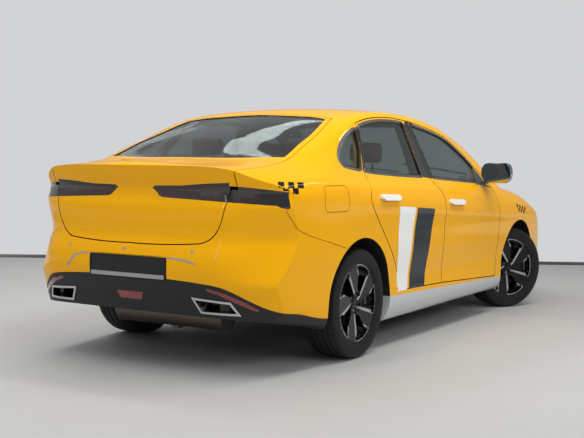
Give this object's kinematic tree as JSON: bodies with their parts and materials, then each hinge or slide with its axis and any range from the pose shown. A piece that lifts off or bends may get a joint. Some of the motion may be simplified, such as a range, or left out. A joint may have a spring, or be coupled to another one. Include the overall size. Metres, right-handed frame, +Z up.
{
  "type": "taxi cab",
  "caption": "Liftback saloon taxi with opening doors, bonnet and tailgate, steering front wheels and free rolling wheels.",
  "frame": {"origin": "on the floor under the middle of the car's length and width", "axes": "+X forward, +Y to the car's left, +Z up"},
  "size_m": [4.7684, 2.199, 1.5119],
  "materials": {
    "paint_yellow": "gloss",
    "skirt_silver": "gloss",
    "underbody": "satin",
    "glass_tinted": "gloss",
    "lamp_smoked": "gloss",
    "lamp_clear": "gloss",
    "plastic_black": "matte",
    "plastic_grey": "textured",
    "plastic_gloss_black": "gloss",
    "plastic_white": "gloss",
    "plastic_red": "gloss",
    "chrome_trim": "polished",
    "exhaust_steel": "satin",
    "suspension_steel": "satin",
    "knuckle_iron": "rough",
    "engine_alloy": "cast",
    "rim_alloy": "gloss black with machined edges",
    "tyre_rubber": "matte",
    "seat_leather": "satin",
    "headrest_leather": "satin",
    "trim_fabric": "matte"
  },
  "bodies": {
    "car_body": {"roof_panel": "paint_yellow", "bumper_front": "paint_yellow", "bumper_rear": "paint_yellow", "front_wings": "paint_yellow", "body_sides": "paint_yellow", "side_skirts": "skirt_silver", "floor_pan": "underbody", "fixed_glass": "glass_tinted", "tail_lamps_outer": "lamp_smoked", "headlamps": "lamp_clear", "cowl_panel": "plastic_black", "arch_liners": "plastic_black", "grille": "plastic_black", "dashboard": "plastic_black", "seat_frames": "plastic_black", "valance_rear": "plastic_grey", "number_plate": "plastic_grey", "rear_reflectors": "plastic_red", "exhaust_finishers": "chrome_trim", "exhaust_system": "exhaust_steel", "front_suspension": "suspension_steel", "rear_axle": "suspension_steel", "engine_block": "engine_alloy", "front_cushions": "seat_leather", "front_backrests": "seat_leather", "rear_cushion": "seat_leather", "rear_backrest": "seat_leather", "steering_wheel": "seat_leather", "headrests": "headrest_leather", "parcel_shelf": "trim_fabric"},
    "tailgate": {"tailgate_shell": "paint_yellow", "tailgate_glass": "glass_tinted", "tailgate_lamps": "lamp_smoked"},
    "bonnet_lid": {"bonnet": "paint_yellow"},
    "door_front_left": {"door_front_left_shell": "paint_yellow", "door_front_left_glass": "glass_tinted", "handle_front_left": "plastic_white", "mirror_left": "plastic_gloss_black"},
    "door_front_right": {"door_front_right_shell": "paint_yellow", "door_front_right_glass": "glass_tinted", "handle_front_right": "plastic_white", "mirror_right": "plastic_gloss_black"},
    "door_rear_left": {"door_rear_left_shell": "paint_yellow", "door_rear_left_glass": "glass_tinted", "handle_rear_left": "plastic_white"},
    "door_rear_right": {"door_rear_right_shell": "paint_yellow", "door_rear_right_glass": "glass_tinted", "handle_rear_right": "plastic_white"},
    "hub_left": {"knuckle_left": "knuckle_iron"},
    "hub_right": {"knuckle_right": "knuckle_iron"},
    "wheel_front_left": {"tyre_front_left": "tyre_rubber", "rim_front_left": "rim_alloy"},
    "wheel_front_right": {"tyre_front_right": "tyre_rubber", "rim_front_right": "rim_alloy"},
    "wheel_rear_left": {"tyre_rear_left": "tyre_rubber", "rim_rear_left": "rim_alloy"},
    "wheel_rear_right": {"tyre_rear_right": "tyre_rubber", "rim_rear_right": "rim_alloy"}
  },
  "joints": [
    {"name": "tailgate_hinge", "type": "hinge", "parent": "car_body", "child": "tailgate", "pos_m": [-1.065, 0, 1.45], "axis": [0, 1, 0], "range_deg": [0, 75]},
    {"name": "bonnet_hinge", "type": "hinge", "parent": "car_body", "child": "bonnet_lid", "pos_m": [1.22, 0, 0.987], "axis": [0, -1, 0], "range_deg": [0, 60]},
    {"name": "door_front_left_hinge", "type": "hinge", "parent": "car_body", "child": "door_front_left", "pos_m": [0.948, 0.908, 0.65], "axis": [0, 0, -1], "range_deg": [0, 65]},
    {"name": "door_front_right_hinge", "type": "hinge", "parent": "car_body", "child": "door_front_right", "pos_m": [0.948, -0.908, 0.65], "axis": [0, 0, 1], "range_deg": [0, 65]},
    {"name": "door_rear_left_hinge", "type": "hinge", "parent": "car_body", "child": "door_rear_left", "pos_m": [-0.135, 0.908, 0.65], "axis": [0, 0, -1], "range_deg": [0, 65]},
    {"name": "door_rear_right_hinge", "type": "hinge", "parent": "car_body", "child": "door_rear_right", "pos_m": [-0.135, -0.908, 0.65], "axis": [0, 0, 1], "range_deg": [0, 65]},
    {"name": "steer_right", "type": "hinge", "parent": "car_body", "child": "hub_right", "pos_m": [1.4225, -0.74, 0.325], "axis": [0, 0, 1], "range_deg": [-7, 65]},
    {"name": "steer_left", "type": "hinge", "parent": "car_body", "child": "hub_left", "pos_m": [1.4225, 0.74, 0.325], "axis": [0, 0, 1], "range_deg": [-7, 65]},
    {"name": "wheel_front_right_spin", "type": "hinge", "parent": "hub_right", "child": "wheel_front_right", "pos_m": [1.40699, -0.76799, 0.325], "axis": [0.4848, 0.8746, 0], "continuous": true},
    {"name": "wheel_front_left_spin", "type": "hinge", "parent": "hub_left", "child": "wheel_front_left", "pos_m": [1.43801, 0.76799, 0.325], "axis": [0.4848, 0.8746, 0], "continuous": true},
    {"name": "wheel_rear_right_spin", "type": "hinge", "parent": "car_body", "child": "wheel_rear_right", "pos_m": [-1.3375, -0.772, 0.325], "axis": [0, 1, 0], "continuous": true},
    {"name": "wheel_rear_left_spin", "type": "hinge", "parent": "car_body", "child": "wheel_rear_left", "pos_m": [-1.3375, 0.772, 0.325], "axis": [0, 1, 0], "continuous": true}
  ],
  "couplings": [
    {"joint": "steer_left", "follows": "steer_right", "ratio": 1}
  ]
}
